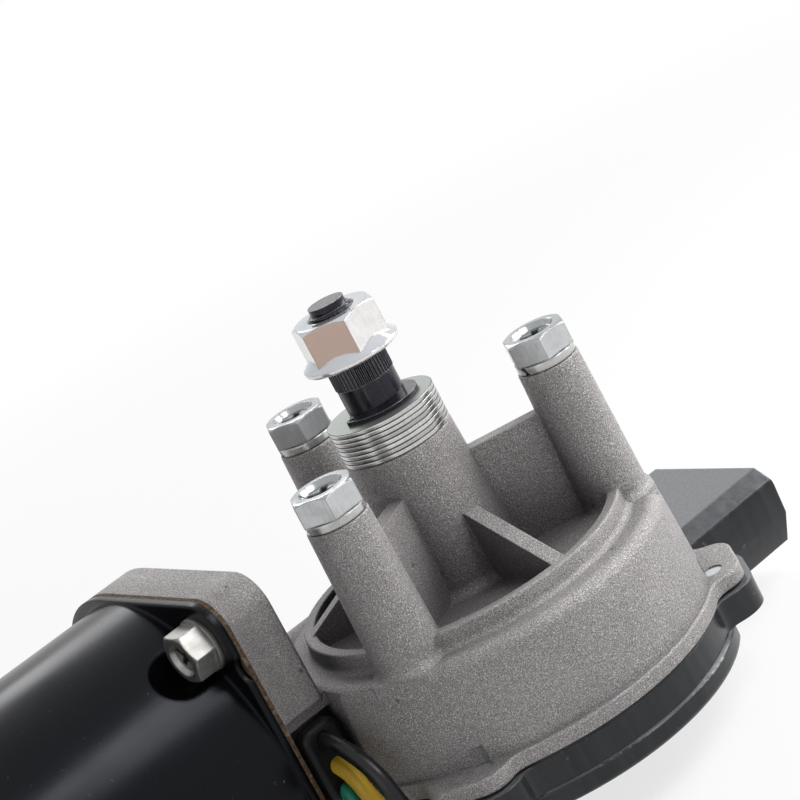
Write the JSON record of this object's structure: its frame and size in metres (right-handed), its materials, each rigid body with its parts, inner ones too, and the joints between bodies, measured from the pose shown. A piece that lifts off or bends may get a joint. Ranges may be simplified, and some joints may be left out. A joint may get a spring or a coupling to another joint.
{
  "type": "wiper motor",
  "caption": "Worm-geared wiper motor: round black motor can on a cast gear housing with mounting posts, knurled output shaft with nut, washers, leads and a connector.",
  "frame": {"origin": "on the output shaft's axis, in the plane of the three mounting post tops", "axes": "+Z along the output shaft out of the housing; the motor lies towards -X with its axis parallel to X; the connector points to +X"},
  "size_m": [0.1795, 0.0951, 0.0886],
  "materials": {
    "die_cast": "sand-textured die casting",
    "black_enamel": "glossy black enamel",
    "zinc_steel": "bright zinc plate",
    "black_steel": "black phosphate",
    "bare_steel": "ground steel",
    "laminations": "stacked sheet steel",
    "ferrite": "dark sintered ferrite",
    "bronze": "oil-filled sintered bronze",
    "copper": "enamelled copper wire and copper bars",
    "tin_brass": "tinned brass",
    "carbon": "carbon brush stock",
    "phenolic": "brown moulding",
    "cover_plastic": "black moulding, fine texture",
    "gear_plastic": "natural acetal",
    "brown_gasket": "brown fibre gasket",
    "black_rubber": "soft black rubber",
    "lead_black": "black wire insulation",
    "lead_yellow": "yellow wire insulation",
    "lead_green": "green wire insulation"
  },
  "bodies": {
    "housing": {"gear_housing": "die_cast", "gear_cover": "cover_plastic", "cover_seal": "black_rubber", "cover_screws": "zinc_steel", "upper_bush": "bronze", "lower_bush": "bronze", "shaft_seal": "black_rubber", "wheel_thrust_washer": "bare_steel", "mounting_bolts": "zinc_steel", "spring_washers": "zinc_steel", "motor_can": "black_enamel", "can_gasket": "brown_gasket", "can_screws": "zinc_steel", "field_magnets": "ferrite", "front_bush": "bronze", "rear_bush": "bronze", "tip_bush": "bronze", "tip_thrust_pad": "gear_plastic", "rear_thrust_pad": "gear_plastic", "brush_holder": "phenolic", "common_brush": "carbon", "low_speed_brush": "carbon", "high_speed_brush": "carbon", "brush_springs": "bare_steel", "lead_grommet": "black_rubber", "lead_black": "lead_black", "lead_yellow": "lead_yellow", "lead_green": "lead_green", "connector_terminals": "tin_brass", "park_contacts": "tin_brass", "shaft_washer_1": "zinc_steel", "shaft_washer_2": "zinc_steel", "shaft_washer_3": "zinc_steel", "shaft_washer_4": "zinc_steel", "shaft_washer_5": "zinc_steel", "shaft_washer_6": "zinc_steel", "shaft_washer_7": "zinc_steel", "shaft_washer_8": "zinc_steel"},
    "output": {"output_shaft": "black_steel", "worm_wheel": "gear_plastic", "contact_disc": "tin_brass", "flange_nut": "zinc_steel", "snap_ring": "black_steel"},
    "armature": {"armature_shaft": "bare_steel", "armature_core": "laminations", "armature_windings": "copper", "commutator": "copper"}
  },
  "joints": [
    {"name": "armature_spin", "type": "hinge", "parent": "housing", "child": "armature", "pos_m": [0, 0.029, -0.033], "axis": [1, 0, 0], "continuous": true},
    {"name": "output_spin", "type": "hinge", "parent": "housing", "child": "output", "pos_m": [0, 0, 0], "axis": [0, 0, 1], "continuous": true}
  ],
  "couplings": [
    {"joint": "output_spin", "follows": "armature_spin", "ratio": 0.02}
  ]
}
